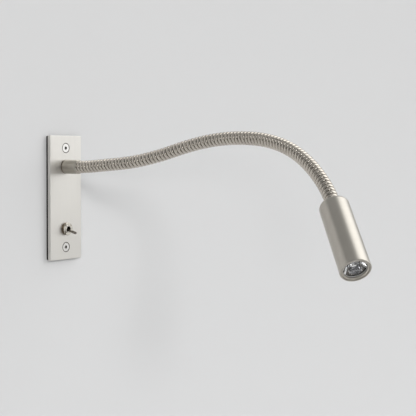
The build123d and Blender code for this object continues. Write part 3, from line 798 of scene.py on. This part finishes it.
for k in range(joint_count):
    first, turns = turn_range(k)
    groove = station_zero + first * rib_pitch
    rib = groove + rib_pitch / 2
    round_wire = wind(
        "round_wire", wire_half_width, wire_half_height, rib_out, wire_sides, rib, turns
    )
    filler_wire = wind(
        "filler_wire", filler_wire_radius, filler_wire_radius, filler_out, filler_sides, groove, turns
    )
    dress(round_wire, neck_finish)
    dress(filler_wire, filler_finish)
    winding = join_pieces([round_wire, filler_wire], f"neck_winding_{k + 1:02d}")
    bend_along_neck(winding)
    smooth(winding)
    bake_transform(winding)
    stands_for = [f"neck_section_{k + 1:02d}"]
    if k == 0:
        stands_for.append("neck_section_00")
    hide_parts(*stands_for)


# ---- threads behind the plate --------------------------------------------------------------------

ridge_share = 0.55  # radius of the ridge, as a share of the pitch
sunk_share = 0.35  # how far its middle is inside the shank, as a share of its radius
thread_steps = 28
thread_crease = 25


def cut_thread(name, core_radius, pitch, begin, end, height, finish):
    """Raised screw thread on a shank square to the wall: a three-sided ridge screwed along Y."""
    ridge = pitch * ridge_share
    middle = (0, begin, core_radius - ridge * sunk_share)
    deselect_all()
    bpy.ops.mesh.primitive_circle_add(
        vertices=3, radius=ridge, location=middle, rotation=(0, math.pi / 2, 0)
    )
    thread = start_piece(name)
    settle(thread)
    bpy.ops.transform.rotate(value=math.pi / 2, orient_axis="X", center_override=middle)
    settle(thread)
    screw = thread.modifiers.new("turns", "SCREW")
    screw.axis = "Y"
    screw.angle = math.tau
    screw.screw_offset = pitch
    screw.iterations = int((end - begin) / pitch)
    screw.steps = screw.render_steps = thread_steps
    screw.use_normal_calculate = True
    apply_all(thread)
    close_ends(thread)
    thread.location = (0, 0, height)
    settle(thread)
    smooth(thread, thread_crease)
    dress(thread, finish)
    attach(thread, "wall_plate")


screw_core, screw_pitch = 2.0 * MM, 0.7 * MM
screw_begin = 0.5 * MM
screw_tip = 0.9 * MM
screw_end = corners("plate_screws")[1].y - screw_tip
for side, height in (("upper", screw_height), ("lower", -screw_height)):
    cut_thread(
        f"{side}_screw_thread",
        screw_core,
        screw_pitch,
        screw_begin,
        screw_end,
        height,
        zinc_finish,
    )
stud_core, stud_pitch = 4.0 * MM, 0.75 * MM
nut_gap, stud_tip = 0.2 * MM, 0.5 * MM
stud_begin = corners("neck_lock_nut")[1].y + nut_gap
stud_end = ferrule_high.y - stud_tip
cut_thread(
    "stud_thread",
    stud_core,
    stud_pitch,
    stud_begin,
    stud_end,
    neck_height,
    zinc_finish,
)


# ---- the cable through the neck ------------------------------------------------------------------

cable_radius = 1.8 * MM
cable_sides = 20
ring_spacing = 2.0 * MM


def mid_station(k):
    """Middle of the link before joint k, along the cable, or the cable's own ends."""
    if k == 0:
        return 0.0
    if k == joint_count:
        return station_zero + neck_length + cable_in_head
    return station_zero + (joint_stations[k - 1] + joint_stations[k]) / 2


for k in range(joint_count):
    begin, end = mid_station(k), mid_station(k + 1)
    deselect_all()
    bpy.ops.mesh.primitive_circle_add(
        vertices=cable_sides,
        radius=cable_radius,
        fill_type="NGON" if k == 0 else "NOTHING",
        location=(begin, 0, 0),
        rotation=(0, math.pi / 2, 0),
    )
    cable = start_piece(f"neck_cable_{k + 1:02d}")
    settle(cable)
    rings = round((end - begin) / ring_spacing)
    step = (end - begin) / rings
    bpy.ops.object.mode_set(mode="EDIT")
    bpy.ops.mesh.select_all(action="SELECT")
    for _ in range(rings):
        bpy.ops.mesh.extrude_region_move(TRANSFORM_OT_translate={"value": (step, 0, 0)})
    bpy.ops.object.mode_set(mode="OBJECT")
    close_ends(cable)
    bend_along_neck(cable)
    smooth(cable)
    dress(cable, jacket_finish)
    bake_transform(cable)
    if k == 0:
        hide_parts("neck_cable")

bpy.data.objects.remove(neck_line)


# ---- wall and floor ------------------------------------------------------------------------------


def wall_paint():
    """Matt pale paint, seen only from the front, so that the lamp's back can be looked at."""
    finish = Finish("wall_paint", (0.62, 0.618, 0.62), roughness=0.9)
    finish.bump(finish.noise(500, 3), height=0.02 * MM, strength=0.3)
    geometry = finish.nodes.new("ShaderNodeNewGeometry")
    clear = finish.nodes.new("ShaderNodeBsdfTransparent")
    mix = finish.nodes.new("ShaderNodeMixShader")
    backfacing, front, back = mix.inputs
    finish.links.new(geometry.outputs["Backfacing"], backfacing)
    finish.links.new(finish.shader.outputs["BSDF"], front)
    finish.links.new(clear.outputs["BSDF"], back)
    finish.links.new(mix.outputs["Shader"], finish.nodes["Material Output"].inputs["Surface"])
    return finish.material


def floor_paint():
    """Matt pale paint with very faint clouds."""
    finish = Finish("floor_paint", (0.66, 0.66, 0.66), roughness=0.8)
    finish.tint(finish.noise(3, 3), 0.98, 1.02)
    return finish.material


floor_drop = 0.45
floor_width = 5.0
wall_width = 2.6
wall_top = 0.24
deselect_all()
bpy.ops.mesh.primitive_plane_add(size=1, rotation=(math.pi / 2, 0, 0))
wall = start_piece("wall")
wall.scale = (wall_width, floor_drop + wall_top, 1)
wall.location = (0, 0, (wall_top - floor_drop) / 2)
settle(wall)
dress(wall, wall_paint())
deselect_all()
bpy.ops.mesh.primitive_plane_add(size=floor_width, location=(0, 0, -floor_drop))
floor = start_piece("floor")
settle(floor)
dress(floor, floor_paint())


# ---- light ---------------------------------------------------------------------------------------
# What the metal mirrors is drawn into the world: a dim room, a tall diffusing screen along its
# right side and a softbox high in front on the left. Two distant lamps, one just above the camera
# and one behind the softbox, give the matt surfaces their light and their soft shadows.

world = bpy.context.scene.world or bpy.data.worlds.new("studio")
bpy.context.scene.world = world
world.use_nodes = True
world_nodes, world_links = world.node_tree.nodes, world.node_tree.links
world_nodes.clear()


def world_math(operation, first, second):
    """A Math node of the world."""
    return link_math(world_nodes, world_links, operation, first, second)


def fade(value, start, stop, low=0.0, high=1.0):
    """Runs softly from low to high while the value runs from start to stop."""
    return link_range(world_nodes, world_links, value, start, stop, low, high, "SMOOTHSTEP")


def facing(direction):
    """Cosine between the ray and a direction."""
    node = world_nodes.new("ShaderNodeVectorMath")
    node.operation = "DOT_PRODUCT"
    node.inputs[1].default_value = Vector(direction).normalized()
    world_links.new(ray, node.inputs[0])
    return node.outputs["Value"]


ray = world_nodes.new("ShaderNodeTexCoord").outputs["Generated"]
split = world_nodes.new("ShaderNodeSeparateXYZ")
world_links.new(ray, split.inputs["Vector"])
to_right, to_wall, upward = split.outputs["X"], split.outputs["Y"], split.outputs["Z"]

softbox_direction = (-0.41, -0.85, 0.33)
softbox_edge = (0.974, 0.993)  # as cosines of the angle from its middle
softbox_brightness = 4.2
room_below, room_above = 0.20, 0.40

right_half = fade(to_right, 0.04, 0.36)
upper_part = fade(upward, -0.15, 0.08)
front_part = fade(to_wall, -0.10, 0.06, 1.0, 0.1)
screen_brightness = fade(to_wall, -0.75, -0.30, 1.8, 1.85)
dimmer_at_side = fade(to_right, 0.80, 1.0, 1.0, 0.40)
screen = world_math("MULTIPLY", right_half, upper_part)
for factor in (front_part, screen_brightness, dimmer_at_side):
    screen = world_math("MULTIPLY", screen, factor)
softbox = fade(facing(softbox_direction), *softbox_edge, 0.0, softbox_brightness)
room = fade(upward, 0.30, 0.85, room_below, room_above)
brightness = world_math("ADD", world_math("ADD", screen, softbox), room)

# Warm from below, neutral from about the horizon up.
warm_end, warm_tone = 0.36, (1.0, 0.90, 0.79, 1)
neutral_start, neutral_tone = 0.48, (0.99, 1.0, 1.0, 1)
tone = world_nodes.new("ShaderNodeValToRGB")
low_element, high_element = tone.color_ramp.elements
low_element.position, low_element.color = warm_end, warm_tone
high_element.position, high_element.color = neutral_start, neutral_tone
world_links.new(fade(upward, -1.0, 1.0), tone.inputs["Fac"])
studio = world_nodes.new("ShaderNodeBackground")
world_links.new(tone.outputs["Color"], studio.inputs["Color"])
world_links.new(brightness, studio.inputs["Strength"])
sky = world_nodes.new("ShaderNodeOutputWorld")
world_links.new(studio.outputs["Background"], sky.inputs["Surface"])


# ---- camera, and the lamps that stand near it ----------------------------------------------------

image_width = 416
focal_pixels = 1050
camera_place = Vector((-0.6032, -0.6110, 0.0363))
camera_yaw = math.radians(52.57)
camera_pitch = math.radians(-2.98)
camera_roll = math.radians(0.28)

forward = Vector((
    math.sin(camera_yaw) * math.cos(camera_pitch),
    math.cos(camera_yaw) * math.cos(camera_pitch),
    math.sin(camera_pitch),
))
level_right = Vector((math.cos(camera_yaw), -math.sin(camera_yaw), 0))
level_up = level_right.cross(forward)
right = level_right * math.cos(camera_roll) + level_up * math.sin(camera_roll)
above = level_up * math.cos(camera_roll) - level_right * math.sin(camera_roll)
turned = Matrix((right, above, -forward)).transposed().to_4x4()


def soft_sun(name, towards, width, strength):
    """A distant lamp of a given width in degrees, seen only by matt surfaces."""
    data = bpy.data.lights.new(name, "SUN")
    data.angle = math.radians(width)
    data.energy = strength
    lamp = bpy.data.objects.new(name, data)
    lamp.rotation_euler = Vector(towards).to_track_quat("Z", "Y").to_euler()
    lamp.visible_glossy = False
    bpy.context.collection.objects.link(lamp)


front_lamp_raise = 0.035
left_lamp_direction = (-0.43, -0.85, 0.33)
soft_sun("front_lamp", above * front_lamp_raise - forward, width=8, strength=0.40)
soft_sun("left_lamp", left_lamp_direction, width=11, strength=0.70)

camera_data = bpy.data.cameras.new("camera")
camera_data.sensor_width = 36
camera_data.lens = camera_data.sensor_width * focal_pixels / image_width
camera = bpy.data.objects.new("camera", camera_data)
camera.matrix_world = Matrix.Translation(camera_place) @ turned
bpy.context.collection.objects.link(camera)
bpy.context.scene.camera = camera
bpy.context.scene.view_settings.view_transform = "Standard"
